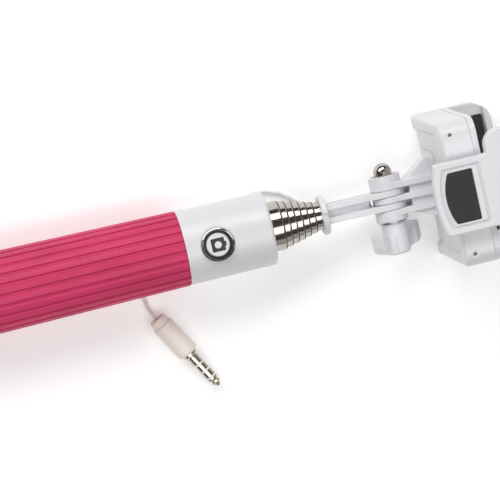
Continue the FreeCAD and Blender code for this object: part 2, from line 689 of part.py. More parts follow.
def clamp_body():
    """Back panel with raised rims, side walls, top bridge and the lower jaw, in one moulding."""
    half = CLAMP_WIDTH / 2
    inner = half - RIM_WIDTH
    recess = box(X_PLATE - 1, X_PLATE + RIM_DEPTH, -inner, inner, -1, CLAMP_TOP - 3.5)
    recess = recess.makeFillet(6.0, straight_edges(recess, X_DIRECTION, lambda m: m.z > 5))
    foot = box(X_PLATE + PLATE_THICKNESS, X_JAW_FRONT, -half, half, 0, FOOT_THICKNESS)
    lip = box(X_JAW_FRONT - WALL, X_JAW_FRONT, -half, half, 0, FOOT_THICKNESS + LIP_HEIGHT)
    jaw = fuse(foot, lip)
    jaw = jaw.makeFillet(6.0, straight_edges(jaw, Z_DIRECTION, lambda m: m.x > X_JAW_FRONT - 0.1))
    body = fuse(clamp_shell(), jaw)
    seam = box(X_PLATE + 1.7, X_PLATE + 2.3, -half - 1, half + 1, CLAMP_TOP - 0.8, CLAMP_TOP + 1)
    anchor_seat = rod_y(ANCHOR_RADIUS, -SPRING_Y - 2.4, SPRING_Y + 2.4, X_ROD, spring_anchor_z())
    bridge_low = CLAMP_TOP - BRIDGE_HEIGHT - 1
    cuts = [recess, seam, anchor_seat]
    for side in (-1, 1):
        cuts.append(rod_z(ROD_RADIUS + SHAFT_FIT, bridge_low, CLAMP_TOP + 1, X_ROD, side * ROD_Y))
        cuts.append(rod_z(SPRING_RADIUS + 0.6, bridge_low, CLAMP_TOP + 1, X_ROD, side * SPRING_Y))
        cuts.append(rod_z(0.6, CLAMP_TOP - 2.5, CLAMP_TOP + 1, X_PLATE + 3.2, side * 18.6))
    for z in BRACKET_SCREW_Z:
        cuts.append(rod_x(1.0, X_PLATE - 1, X_PLATE + 2.5, 0.0, z))
        cuts.append(rod_x(1.9, X_PLATE + 2.4, X_PLATE + 5, 0.0, z))
    return cut(body, *cuts)


def clamp_posts():
    """Two screw posts between the back panel and the cover."""
    posts = []
    for y in (-COVER_SCREW_Y, COVER_SCREW_Y):
        post = rod_x(2.2, X_PLATE + PLATE_THICKNESS, X_COVER, y, COVER_SCREW_HEIGHT)
        posts.append(cut(post, rod_x(0.9, X_COVER - 4, X_COVER + 1, y, COVER_SCREW_HEIGHT)))
    return Part.makeCompound(posts)


def clamp_cover():
    """Cover over the springs; the phone's back rests on it."""
    half = CLAMP_WIDTH / 2
    plate = box(X_COVER, X_COVER + COVER_THICKNESS, -half, half, FOOT_THICKNESS, CLAMP_TOP - 0.4)
    plate = plate.makeFillet(TOP_CORNER, straight_edges(plate, X_DIRECTION,
                                                        lambda middle: middle.z > CLAMP_TOP - 1))
    cuts = []
    for y in (-COVER_SCREW_Y, COVER_SCREW_Y):
        cuts.append(rod_x(1.0, X_COVER - 1, X_COVER + 3, y, COVER_SCREW_HEIGHT))
        cuts.append(rod_x(1.9, X_COVER + 0.9, X_COVER + 3, y, COVER_SCREW_HEIGHT))
    return cut(plate, *cuts)


def cover_screws():
    screws = []
    for y in (-COVER_SCREW_Y, COVER_SCREW_Y):
        shank = rod_x(0.88, X_COVER - 3.5, X_COVER + 0.9, y, COVER_SCREW_HEIGHT)
        head = rod_x(1.8, X_COVER + 0.9, X_COVER + COVER_THICKNESS - 0.1, y, COVER_SCREW_HEIGHT)
        screws.append(fuse(shank, head))
    return Part.makeCompound(screws)


def cover_pads():
    """Two soft strips on the cover, either side of its screws."""
    x_low = X_COVER + COVER_THICKNESS
    pads = []
    for side in (-1, 1):
        low, high = sorted((side * 2.0, side * 12.0))
        pad = box(x_low, x_low + 0.8, low, high, 9.0, CLAMP_TOP - 7)
        pads.append(pad.makeFillet(2.0, straight_edges(pad, X_DIRECTION)))
    return Part.makeCompound(pads)


def lower_pad():
    x_low = X_COVER + COVER_THICKNESS + 1.2
    half = CLAMP_WIDTH / 2 - 4
    return box(x_low, X_JAW_FRONT - 2.6, -half, half, FOOT_THICKNESS, FOOT_THICKNESS + PAD_THICKNESS)


def tongue(offset, z_low, z_high, front=0.0):
    """Plan of the upper jaw's middle: a shallow curve behind the panel and straight sides."""
    half = TAB_HALF_WIDTH - offset
    back = X_PLATE - TAB_OVERHANG + offset
    shoulder = back + TAB_BULGE
    end = X_JAW_FRONT - offset - front
    corners = [
        at(shoulder, half, z_low),
        at(end, half, z_low),
        at(end, -half, z_low),
        at(shoulder, -half, z_low),
    ]
    edges = [Part.makeLine(a, b) for a, b in zip(corners, corners[1:])]
    edges.append(Part.Arc(corners[3], at(back, 0, z_low), corners[0]).toShape())
    return Part.Face(Part.Wire(edges)).extrude(at(0, 0, z_high - z_low))


def upper_jaw():
    """Sliding jaw: thumb tab, tongue and padded crossbar, with a rim round its inlay."""
    tab = tongue(0.0, JAW_BASE, JAW_TOP)
    tab = tab.makeFillet(1.2, straight_edges(tab, Z_DIRECTION, lambda middle: middle.x < X_PLATE))
    crossbar = box(X_COVER + 2.5, X_JAW_FRONT, -CROSSBAR_HALF, CROSSBAR_HALF, JAW_BASE, JAW_TOP)
    crossbar = crossbar.makeFillet(5.0, straight_edges(crossbar, Z_DIRECTION))
    lip = box(X_JAW_FRONT - WALL, X_JAW_FRONT, -12.0, 12.0, JAW_BASE - LIP_HEIGHT, JAW_BASE + 1)
    body = fuse(tab, crossbar, lip)
    top = [e for e in body.Edges if e.BoundBox.ZMin > JAW_TOP - 1e-6]
    body = body.makeFillet(0.6, top)
    ring_front = INLAY_FRONT - 1.3
    ring = cut(tongue(2.0, JAW_TOP - 0.7, JAW_TOP + 1, ring_front),
               tongue(2.6, JAW_TOP - 1, JAW_TOP + 2, ring_front))
    recess = tongue(INLAY_INSET, JAW_TOP - INLAY_DEPTH, JAW_TOP + 1, INLAY_FRONT)
    sockets = [rod_z(ROD_RADIUS, JAW_BASE - 1, JAW_TOP - 1.5, X_ROD, side * ROD_Y)
               for side in (-1, 1)]
    return cut(body, ring, recess, *sockets)


def jaw_inlay():
    """Black grip pad let into the top of the upper jaw."""
    return tongue(INLAY_INSET, JAW_TOP - INLAY_DEPTH, JAW_TOP - 0.25, INLAY_FRONT)


def upper_pad():
    x_low = X_COVER + COVER_THICKNESS + 1.2
    return box(x_low, X_JAW_FRONT - 2.6, -14.0, 14.0, JAW_BASE - PAD_THICKNESS, JAW_BASE)


def guide_rods():
    """Two rods that hang from the upper jaw, each with a ring that stops its travel."""
    rods = []
    for side in (-1, 1):
        rod = rod_z(ROD_RADIUS, ROD_BOTTOM, JAW_TOP - 1.5, X_ROD, side * ROD_Y)
        stop = rod_z(ROD_STOP_RADIUS, ROD_BOTTOM, ROD_BOTTOM + ROD_STOP_LENGTH, X_ROD, side * ROD_Y)
        rods.append(fuse(rod, stop))
    return Part.makeCompound(rods)


def jaw_springs():
    """Two springs that pull the upper jaw down on the phone."""
    low = SPRING_LOW + SPRING_WIRE
    high = JAW_BASE - SPRING_WIRE
    springs = []
    for side in (-1, 1):
        helix = Part.makeHelix((high - low) / SPRING_TURNS, high - low, SPRING_RADIUS)
        helix.translate(at(X_ROD, side * SPRING_Y, low))
        start = helix.Edges[0].valueAt(helix.Edges[0].FirstParameter)
        along = helix.Edges[0].tangentAt(helix.Edges[0].FirstParameter)
        circle = Part.Wire(Part.makeCircle(SPRING_WIRE, start, along))
        springs.append(Part.Wire(helix.Edges).makePipeShell([circle], True, True))
    return Part.makeCompound(springs)


def spring_anchor_z():
    return SPRING_LOW - ANCHOR_RADIUS - 0.1


def spring_anchor():
    """Cross pin low in the clamp that the springs' lower ends hook on."""
    return rod_y(ANCHOR_RADIUS, -SPRING_Y - 2.4, SPRING_Y + 2.4, X_ROD, spring_anchor_z())


# ---- wiring ----------------------------------------------------------------------------------------
def inner_lead():
    """Coiled lead inside the last tube, drawn as the fat tube that it fills."""
    return rod_x(3.0, X_TAIL + 2, X_FLANGE - STUB_LENGTH - 1)


# the cord's free end: (x from the collar's front, y, z of its middle)
CORD_ROUTE = [
    (21.4, 0.0, AXIS_Z - WEB_LOW - GROMMET_LENGTH),
    (21.3, 0.0, 6.4),
    (20.4, 0.2, 3.5),
    (18.2, 0.7, 1.4),
    (15.0, 1.9, 0.7),
    (12.0, 4.0, 0.7),
    (8.9, 7.0, 0.7),
    (5.2, 9.2, 0.7),
    (0.4, 10.3, 0.7),
    (-5.0, 9.4, 0.7),
    (-14.0, 7.8, 0.7),
    (-26.0, 6.4, 0.7),
    (-38.0, 6.2, 0.7),
    (-50.0, 6.6, 0.7),
    (-57.6, 5.8, 0.7),
    (-62.4, 3.0, 0.7),
    (-63.2, -2.2, 0.7),
    (-60.0, -6.6, 0.7),
    (-54.6, -8.2, 0.7),
    (-48.6, -8.6, 0.7),
    (-43.8, -10.6, 0.7),
    (-41.6, -14.0, 0.95),
    (-41.3, -17.9, 2.3),
    (-39.5, -21.0, PLUG_RADIUS),
]
PLUG_ALONG = FreeCAD.Vector(0.505, -0.863, 0).normalize()


def cord_points():
    return [at(X_COLLAR_FRONT + x, y, z) for x, y, z in CORD_ROUTE]


def cord():
    """Round cord: straight runs joined by tangent arcs as large as the runs allow."""
    points = cord_points()
    edges = []
    radii = []
    last = points[0]
    for before, corner, after in zip(points, points[1:], points[2:]):
        back = (before - corner).normalize()
        ahead = (after - corner).normalize()
        half_turn = (math.pi - back.getAngle(ahead)) / 2
        reach = 0.45 * min((corner - before).Length, (after - corner).Length)
        radius = reach / math.tan(half_turn)
        radii.append(round(radius, 1))
        start = corner + back * reach
        end = corner + ahead * reach
        towards_centre = (back + ahead).normalize()
        middle = corner + towards_centre * (radius / math.cos(half_turn) - radius)
        edges.append(Part.LineSegment(last, start).toShape())
        edges.append(Part.Arc(start, middle, end).toShape())
        last = end
    edges.append(Part.LineSegment(last, points[-1]).toShape())
    path = Part.Wire(edges)
    ring = Part.Wire(Part.makeCircle(CORD_RADIUS, points[0], points[1] - points[0]))
    tube_solid = path.makePipeShell([ring], True, False)
    print("cord length", round(path.Length, 1), "smallest radius", min(radii), "radii", radii)
    print("cord volume over section times length",
          round(tube_solid.Volume / (math.pi * CORD_RADIUS ** 2 * path.Length), 4))
    return tube_solid


def on_plug(outline):
    """Solid turned about the plug's centre line from (distance, radius) corners."""
    origin = cord_points()[-1]
    across = FreeCAD.Vector(0, 0, 1)
    points = [origin + PLUG_ALONG * distance + across * radius for distance, radius in outline]
    face = Part.Face(Part.makePolygon(points + points[:1]))
    return face.revolve(origin, PLUG_ALONG, 360)


def plug_body():
    """Moulded barrel of the jack plug with a narrower neck for the cord."""
    return on_plug([
        (0.0, 0.0),
        (0.0, 2.5),
        (0.3, 2.8),
        (2.2, 2.8),
        (2.5, PLUG_RADIUS - 0.3),
        (2.9, PLUG_RADIUS),
        (PLUG_LENGTH - 1.0, PLUG_RADIUS),
        (PLUG_LENGTH - 0.3, PLUG_RADIUS - 0.3),
        (PLUG_LENGTH, PLUG_RADIUS - 0.9),
        (PLUG_LENGTH, 0.0),
    ])


def jack_contact(start, end):
    return on_plug([
        (PLUG_LENGTH + start, 0.0),
        (PLUG_LENGTH + start, JACK_RADIUS),
        (PLUG_LENGTH + end, JACK_RADIUS),
        (PLUG_LENGTH + end, 0.0),
    ])


def jack_sleeve():
    """Sleeve contact with the collar and the undercut at the jack's foot."""
    collar_end = PLUG_LENGTH + 0.8
    undercut_end = PLUG_LENGTH + 1.4
    return on_plug([
        (PLUG_LENGTH, 0.0),
        (PLUG_LENGTH, 2.4),
        (collar_end - 0.2, 2.4),
        (collar_end, 2.2),
        (collar_end, JACK_RADIUS - 0.45),
        (undercut_end, JACK_RADIUS - 0.45),
        (undercut_end, JACK_RADIUS),
        (PLUG_LENGTH + JACK_SLEEVE_END, JACK_RADIUS),
        (PLUG_LENGTH + JACK_SLEEVE_END, 0.0),
    ])


def jack_tip():
    """Tip contact with its waist and rounded cone."""
    start = PLUG_LENGTH + JACK_TIP_START
    end = PLUG_LENGTH + JACK_LENGTH
    return on_plug([
        (start, 0.0),
        (start, JACK_RADIUS),
        (start + 0.5, JACK_RADIUS),
        (start + 1.3, 1.25),
        (start + 1.9, 1.6),
        (end - 0.7, 0.9),
        (end - 0.2, 0.55),
        (end, 0.0),
    ])


def jack_insulators():
    """Three white rings between the jack's contacts."""
    lows = [JACK_SLEEVE_END] + [end for _, _, end in JACK_CONTACTS]
    highs = [start for _, start, _ in JACK_CONTACTS] + [JACK_TIP_START]
    return Part.makeCompound([jack_contact(a, b) for a, b in zip(lows, highs)])


# ---- every piece -------------------------------------------------------------------------------------
def pieces():
    rear = (X_CAP + 20, X_CAP + 28)
    front = (X_COLLAR - 12, X_COLLAR - 4)
    liner_bore = LINER_RADIUS - LINER_WALL
    found = {
        "grip_sleeve": grip_sleeve(),
        "handle_liner": handle_liner(),
        "end_cap": end_cap(),
        "end_plug": end_plug(),
        "end_cap_screw": end_cap_screw(),
        "collar_shell": collar_shell(),
        "root_bush_rear": bush(*rear, TUBE_RADIUS_FIRST, liner_bore),
        "root_bush_front": bush(*front, TUBE_RADIUS_FIRST, liner_bore),
        "button_bezel": button_bezel(),
        "button_gasket": button_gasket(),
        "button_cap": button_cap(),
        "button_symbol": button_symbol(),
        "switch_board": switch_board(),
        "switch_body": switch_body(),
        "switch_plunger": switch_plunger(),
        "fork_end": fork_end(),
        "fork_pin": fork_pin(),
        "cord_grommet": cord_grommet(),
        "head_bracket": head_bracket(),
        "bracket_screws": bracket_screws(),
        "cap_nut": cap_nut(),
        "hinge_screw": hinge_screw(),
        "knob_washer": knob_washer(),
        "wing_knob": wing_knob(),
        "clamp_body": clamp_body(),
        "clamp_posts": clamp_posts(),
        "clamp_cover": clamp_cover(),
        "cover_screws": cover_screws(),
        "cover_pads": cover_pads(),
        "lower_pad": lower_pad(),
        "upper_jaw": upper_jaw(),
        "upper_pad": upper_pad(),
        "jaw_inlay": jaw_inlay(),
        "guide_rods": guide_rods(),
        "jaw_springs": jaw_springs(),
        "spring_anchor": spring_anchor(),
        "inner_lead": inner_lead(),
        "cord": cord(),
        "plug_body": plug_body(),
        "jack_sleeve": jack_sleeve(),
        "jack_insulators": jack_insulators(),
        "jack_tip": jack_tip(),
    }
    for name, start, end in JACK_CONTACTS:
        found[name] = jack_contact(start, end)
    for number in range(1, TUBE_COUNT + 1):
        found["tube_%d" % number] = tube(number)
        if number > 1:
            found["tail_bush_%d" % number] = tail_bush(number)
    return found


os.makedirs("parts", exist_ok=True)
for node, shape in pieces().items():
    shape.exportStep("parts/%s.step" % node)
    if not shape.isValid() or min(solid.Volume for solid in shape.Solids) <= 0:
        print("not a sound solid:", node)
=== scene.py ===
"""Looks of the telescopic selfie stick: studio, camera, cord, detailed pieces and materials.

Metres, in the CAD part's frame: +X towards the clamp, +Y along the hinge, +Z up.
"""
import bmesh
import bpy
import json
import math
from mathutils import Matrix, Vector


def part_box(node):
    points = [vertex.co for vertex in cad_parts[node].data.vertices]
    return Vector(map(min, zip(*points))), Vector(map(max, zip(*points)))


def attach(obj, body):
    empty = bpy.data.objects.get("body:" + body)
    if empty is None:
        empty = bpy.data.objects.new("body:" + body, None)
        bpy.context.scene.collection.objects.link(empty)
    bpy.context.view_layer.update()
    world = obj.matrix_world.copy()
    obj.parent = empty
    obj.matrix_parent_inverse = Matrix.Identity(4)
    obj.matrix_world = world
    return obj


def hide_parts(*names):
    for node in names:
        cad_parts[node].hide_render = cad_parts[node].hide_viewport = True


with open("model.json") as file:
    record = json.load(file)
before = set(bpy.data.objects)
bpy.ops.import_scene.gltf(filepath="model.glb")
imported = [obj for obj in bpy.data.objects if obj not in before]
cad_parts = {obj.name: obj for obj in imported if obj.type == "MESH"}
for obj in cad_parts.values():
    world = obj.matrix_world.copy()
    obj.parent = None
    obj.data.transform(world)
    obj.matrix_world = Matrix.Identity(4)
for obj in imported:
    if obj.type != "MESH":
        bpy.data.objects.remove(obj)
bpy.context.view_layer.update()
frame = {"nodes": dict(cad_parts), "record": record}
nodes = frame["nodes"]
scene = bpy.context.scene

MM = 0.001


# ---- places taken from the frame -----------------------------------------------------------
def low(node):
    return Vector(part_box(node)[0])


def high(node):
    return Vector(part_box(node)[1])


def middle(node):
    return (low(node) + high(node)) / 2


def radius_across(node):
    return (high(node).y - low(node).y) / 2


AXIS_Z = middle("tube_1").z
COLLAR_FRONT = high("collar_shell").x


# ---- camera ----------------------------------------------------------------------------------
CAMERA_DISTANCE = 1.2
CAMERA_LENS = 278.5          # on a 36 mm wide sensor
CAMERA_TARGET = (0.0321, -0.0054)
CAMERA_PITCH = 6.65          # leans towards the handle's end
CAMERA_ROLL = 7.2            # leans towards the cap nut's side
CAMERA_TURN = -12.6          # the stick rises to the right by this much


def add_camera():
    data = bpy.data.cameras.new("camera")
    data.lens = CAMERA_LENS
    data.sensor_width = 36.0
    data.clip_end = 20.0
    camera = bpy.data.objects.new("camera", data)
    scene.collection.objects.link(camera)
    turn = (Matrix.Rotation(math.radians(-CAMERA_PITCH), 3, "Y")
            @ Matrix.Rotation(math.radians(-CAMERA_ROLL), 3, "X")
            @ Matrix.Rotation(math.radians(CAMERA_TURN), 3, "Z"))
    target = Vector((CAMERA_TARGET[0], CAMERA_TARGET[1], AXIS_Z))
    place = turn.to_4x4()
    place.translation = target + turn @ Vector((0, 0, CAMERA_DISTANCE))
    camera.matrix_world = place
    scene.camera = camera


# ---- materials -------------------------------------------------------------------------------
def principled(name, colour, roughness, **sockets):
    """New material with its even values set on the shader's own sockets."""
    material = bpy.data.materials.new(name)
    material.use_nodes = True
    shader = material.node_tree.nodes["Principled BSDF"]
    shader.inputs["Base Color"].default_value = (*colour, 1.0)
    shader.inputs["Roughness"].default_value = roughness
    for socket, value in sockets.items():
        shader.inputs[socket.replace("_", " ")].default_value = value
    return material, shader


def object_place(tree, stretch=(1.0, 1.0, 1.0)):
    """Object coordinates, stretched to draw a texture out along an axis."""
    source = tree.nodes.new("ShaderNodeTexCoord")
    mapping = tree.nodes.new("ShaderNodeMapping")
    mapping.inputs["Scale"].default_value = stretch
    tree.links.new(source.outputs["Object"], mapping.inputs["Vector"])
    return mapping.outputs["Vector"]


def noise(tree, scale, detail=2.0, roughness=0.5, stretch=(1.0, 1.0, 1.0)):
    texture = tree.nodes.new("ShaderNodeTexNoise")
    texture.inputs["Scale"].default_value = scale
    texture.inputs["Detail"].default_value = detail
    texture.inputs["Roughness"].default_value = roughness
    tree.links.new(object_place(tree, stretch), texture.inputs["Vector"])
    return texture.outputs["Fac"]


def ramp(tree, factor, *stops):
    """Colour ramp from (position, colour) stops."""
    node = tree.nodes.new("ShaderNodeValToRGB")
    elements = node.color_ramp.elements
    while len(elements) < len(stops):
        elements.new(0.5)
    for element, (position, colour) in zip(elements, stops):
        element.position = position
        element.color = (*colour, 1.0)
    tree.links.new(factor, node.inputs["Fac"])
    return node.outputs["Color"]


def value_range(tree, factor, low_value, high_value):
    node = tree.nodes.new("ShaderNodeMapRange")
    node.inputs["From Min"].default_value = 0.3
    node.inputs["From Max"].default_value = 0.7
    node.inputs["To Min"].default_value = low_value
    node.inputs["To Max"].default_value = high_value
    tree.links.new(factor, node.inputs["Value"])
    return node.outputs["Result"]


def bump(tree, shader, height, distance, strength=1.0, after=None):
    node = tree.nodes.new("ShaderNodeBump")
    node.inputs["Distance"].default_value = distance
    node.inputs["Strength"].default_value = strength
    tree.links.new(height, node.inputs["Height"])
    if after is not None:
        tree.links.new(after, node.inputs["Normal"])
    tree.links.new(node.outputs["Normal"], shader.inputs["Normal"])
    return node.outputs["Normal"]


def moulded(name, colour, roughness=0.34, grain=1500.0, depth=0.006 * MM, spread=0.02):
    """Injection-moulded plastic: fine spark texture, faint flow clouds, uneven polish."""
    material, shader = principled(name, colour, roughness, IOR=1.48)
    tree = material.node_tree
    darker = tuple(max(c - spread, 0.0) for c in colour)
    clouds = noise(tree, 45.0, 3.0)
    tree.links.new(ramp(tree, clouds, (0.3, darker), (0.7, colour)), shader.inputs["Base Color"])
    polish = noise(tree, 160.0, 4.0)
    tree.links.new(value_range(tree, polish, roughness - 0.05, roughness + 0.06),
                   shader.inputs["Roughness"])
    bump(tree, shader, noise(tree, grain, 2.0), depth)
    return material


def rubber(name, colour, roughness=0.7, grain=2200.0, depth=0.02 * MM):
    material, shader = principled(name, colour, roughness)
    shader.inputs["Sheen Weight"].default_value = 0.15
    shader.inputs["Sheen Roughness"].default_value = 0.5
    tree = material.node_tree
    lighter = tuple(min(c * 1.35 + 0.004, 1.0) for c in colour)
    tree.links.new(ramp(tree, noise(tree, 300.0, 5.0), (0.35, colour), (0.75, lighter)),
                   shader.inputs["Base Color"])
    bump(tree, shader, noise(tree, grain, 3.0), depth)
    return material


def drawn_metal(name, colour, roughness=0.08, stretch=(0.03, 1.0, 1.0), depth=0.0008 * MM):
    """Plated or drawn metal with faint draw lines along one axis."""
    material, shader = principled(name, colour, roughness, Metallic=1.0)
    tree = material.node_tree
    lines = noise(tree, 4500.0, 3.0, stretch=stretch)
    tree.links.new(value_range(tree, lines, roughness * 0.7, roughness * 1.5),
                   shader.inputs["Roughness"])
    darker = tuple(c * 0.93 for c in colour)
    tree.links.new(ramp(tree, noise(tree, 90.0, 4.0), (0.35, darker), (0.65, colour)),
                   shader.inputs["Base Color"])
    bump(tree, shader, lines, depth)
    return material


def foam_grip():
    """Pink foam rubber: closed-cell skin with fine pores."""
    pink = (0.60, 0.022, 0.12)
    deep = (0.50, 0.016, 0.09)
    material, shader = principled("grip_foam", pink, 0.55)
    shader.inputs["Sheen Weight"].default_value = 0.1
    shader.inputs["Sheen Roughness"].default_value = 0.4
    shader.inputs["Sheen Tint"].default_value = (1.0, 0.7, 0.82, 1.0)
    tree = material.node_tree
    mottle = noise(tree, 110.0, 6.0, 0.6, stretch=(0.4, 1.0, 1.0))
    tree.links.new(ramp(tree, mottle, (0.32, deep), (0.62, pink)), shader.inputs["Base Color"])
    pores = noise(tree, 2600.0, 3.0, 0.6)
    skin = bump(tree, shader, pores, 0.03 * MM, 0.7)
    waves = noise(tree, 260.0, 2.0, stretch=(0.25, 1.0, 1.0))
    bump(tree, shader, waves, 0.05 * MM, after=skin)
    return material


def make_materials():
    return {
        "grip_pink": foam_grip(),
        "white_plastic": moulded("white_plastic", (0.68, 0.675, 0.70)),
        "chrome": drawn_metal("chrome", (0.47, 0.435, 0.40), 0.12),
        "aluminium": drawn_metal("aluminium", (0.62, 0.62, 0.63), 0.3),
        "steel": drawn_metal("steel", (0.5, 0.5, 0.5), 0.28, stretch=(1.0, 1.0, 1.0)),
        "nylon": moulded("nylon", (0.62, 0.6, 0.54), 0.5),
        "black_rubber": rubber("black_rubber", (0.012, 0.012, 0.013)),
        "black_print": moulded("black_print", (0.008, 0.008, 0.009), 0.4, spread=0.002),
        "switch_stem": moulded("switch_stem", (0.18, 0.07, 0.03), 0.45),
        "circuit_board": moulded("circuit_board", (0.01, 0.11, 0.035), 0.3),
        "cord_white": rubber("cord_white", (0.78, 0.78, 0.78), 0.45, depth=0.008 * MM),
        "plug_plastic": moulded("plug_plastic", (0.84, 0.77, 0.70), 0.42),
        "jack_metal": drawn_metal("jack_metal", (0.5, 0.45, 0.38), 0.14, stretch=(1, 1, 1)),
        "insulator": moulded("insulator", (0.75, 0.75, 0.73), 0.3),
    }


def dress_nodes(materials):
    """Every carried-over CAD node gets the material of its slot."""
    slots = {row["node"]: row["material_slot"] for row in frame["record"]["subparts"]}
    for name, node in nodes.items():
        node.data.materials.clear()
        node.data.materials.append(materials[slots[name]])


# ---- pieces that stand for CAD nodes ----------------------------------------------------------
def finish_mesh(mesh, material, smooth=True):
    if smooth:
        mesh.polygons.foreach_set("use_smooth", [True] * len(mesh.polygons))
    mesh.materials.clear()
    mesh.materials.append(material)


def link_mesh(name, mesh, material, smooth=True):
    finish_mesh(mesh, material, smooth)
    piece = bpy.data.objects.new(name, mesh)
    scene.collection.objects.link(piece)
    return piece


def mesh_from(shell, name):
    """Mesh of a closed shell with its faces turned outwards."""
    bmesh.ops.recalc_face_normals(shell, faces=shell.faces)
    mesh = bpy.data.meshes.new(name)
    shell.to_mesh(mesh)
    shell.free()
    return mesh


RIBS = 24
GROOVE_HALF = 0.5 * MM
GROOVE_DEPTH = 0.7 * MM
GROOVE_LIFT = 0.12 * MM      # the groove's floor curves up towards its walls
RIB_ROUND = 0.35 * MM
ROUND_STEPS = 4
GRIP_TAPER = 1.5 * MM        # the grip is this much thinner in front, as a radius
GRIP_BORE = 9.5 * MM         # radius
GRIP_ROWS = 30
# the grip's rounded ends: millimetres in from the end, and below the full radius
GRIP_END = [(0.0, 0.75), (0.0, 0.25), (0.15, 0.1), (0.4, 0.02), (0.7, 0.0)]


def rib_outline(radius):
    """(angle, radius) points of one rib's pitch: groove floor, wall, round edge, flat top."""
    half_pitch = math.pi / RIBS
    edge = GROOVE_HALF / radius
    turn = RIB_ROUND / radius
    floor = radius - GROOVE_DEPTH
    points = [(-half_pitch + edge * 0.55, floor), (-half_pitch + edge * 0.9, floor + GROOVE_LIFT)]
    for step in range(ROUND_STEPS + 1):
        bend = math.pi / 2 * step / ROUND_STEPS
        points.append((-half_pitch + edge + turn * (1 - math.cos(bend)),
                       radius - RIB_ROUND * (1 - math.sin(bend))))
    wall = points[:]
    flat = half_pitch - edge - turn
    points += [(share * flat, radius) for share in (-0.5, 0.0, 0.5)]
    points += [(-angle, r) for angle, r in reversed(wall)]
    return points


def on_axis(x, reach, angle):
    """Point at a distance and an angle round the stick's axis."""
    return (x, reach * math.sin(angle), AXIS_Z + reach * math.cos(angle))


def grip_rows(back, front):
    """(x, drop below the full radius) of the grip's cross-sections, from back to front."""
    end = GRIP_END[-1][0] * MM
    rows = [(back + x * MM, drop * MM) for x, drop in GRIP_END]
    for step in range(1, GRIP_ROWS):
        rows.append((back + end + (front - back - 2 * end) * step / GRIP_ROWS, 0.0))
    rows += [(front - x * MM, drop * MM) for x, drop in reversed(GRIP_END)]
    return rows


def grip_ring(shell, x, radius, drop):
    ring = []
    for rib in range(RIBS):
        for angle, r in rib_outline(radius):
            turned = angle + 2 * math.pi * rib / RIBS + math.pi / RIBS
            ring.append(shell.verts.new(on_axis(x, min(r, radius - drop), turned)))
    return ring


def grip_end_face(shell, ring):
    """Flat end of the grip, from its outer ring in to the bore."""
    hub = []
    for vert in ring:
        across = Vector((0, vert.co.y, vert.co.z - AXIS_Z)).normalized() * GRIP_BORE
        hub.append(shell.verts.new((vert.co.x, across.y, AXIS_Z + across.z)))
    for i in range(len(ring)):
        j = (i + 1) % len(ring)
        shell.faces.new((ring[i], ring[j], hub[j], hub[i]))


def ribbed_grip(material):
    """Tapered foam grip with straight ribs whose edges and ends are rounded."""
    back = low("grip_sleeve").x
    front = high("grip_sleeve").x
    radius_back = high("grip_sleeve").z - AXIS_Z
    shell = bmesh.new()
    rings = []
    for x, drop in grip_rows(back, front):
        radius = radius_back - GRIP_TAPER * (x - back) / (front - back)
        rings.append(grip_ring(shell, x, radius, drop))
    for ring, after in zip(rings, rings[1:]):
        for i, vert in enumerate(ring):
            j = (i + 1) % len(ring)
            shell.faces.new((vert, after[i], after[j], ring[j]))
    grip_end_face(shell, rings[0])
    grip_end_face(shell, rings[-1])
    piece = link_mesh("ribbed_grip", mesh_from(shell, "ribbed_grip"), material)
    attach(piece, "handle")
    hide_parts("grip_sleeve")


def softened(name, node_name, body, voxel, passes, material):
    """A moulded piece: the node's form with every edge rounded as a mould leaves it."""
    mesh = nodes[node_name].data.copy()
    weld = bmesh.new()
    weld.from_mesh(mesh)
    bmesh.ops.remove_doubles(weld, verts=weld.verts, dist=0.002 * MM)
    weld.to_mesh(mesh)
    weld.free()
    piece = link_mesh(name, mesh, material)
    remesh = piece.modifiers.new("remesh", "REMESH")
    remesh.mode = "VOXEL"
    remesh.voxel_size = voxel * MM
    remesh.use_smooth_shade = True
    relax = piece.modifiers.new("relax", "SMOOTH")
    relax.factor = 0.5
    relax.iterations = passes
    shaped = bpy.data.meshes.new_from_object(piece.evaluated_get(
        bpy.context.evaluated_depsgraph_get()))
    piece.modifiers.clear()
    piece.data = shaped
    finish_mesh(shaped, material)
    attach(piece, body)
    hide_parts(node_name)


RING_STEPS = 96
RING_DEPTH = 0.25 * MM       # how far a painted-shade ring sits inside its tube
RING_EDGE = 0.12 * MM        # tube wall left standing round it
RING_PLAY = 0.02 * MM


def turned_ring(profile, name):
    """Closed ring: a profile of (x, radius) points turned round the stick's axis."""
    ring = bmesh.new()
    loops = []
    for step in range(RING_STEPS):
        angle = 2 * math.pi * step / RING_STEPS
        loops.append([ring.verts.new(on_axis(x, r, angle)) for x, r in profile])
    for here, after in zip(loops, loops[1:] + loops[:1]):
        for i in range(len(profile)):
            j = (i + 1) % len(profile)
            ring.faces.new((here[i], here[j], after[j], after[i]))
    return mesh_from(ring, name)


def add_joint_shade_rings(material):
    """Dark ring in each tube's mouth: painted shade that darkens each joint between tubes, where the
    crimped lip shows shade and dark reflection.
    """
    for number in range(1, 7):
        tube = "tube_%d" % number
        mouth = high(tube).x
        outer = radius_across(tube) - RING_EDGE
        inner = radius_across("tube_%d" % (number + 1)) + RING_PLAY
        profile = [(mouth - RING_DEPTH, outer), (mouth + 0.04 * MM, outer),
                   (mouth + 0.16 * MM, outer - 0.1 * MM), (mouth + 0.22 * MM, inner),
                   (mouth - RING_DEPTH, inner)]
        name = "wiper_ring_%d" % number
        # painted shade: a dark ring stands in for the shade and dark reflection at the joint
        piece = link_mesh(name, turned_ring(profile, name), material, smooth=False)
        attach(piece, "handle" if number == 1 else tube)


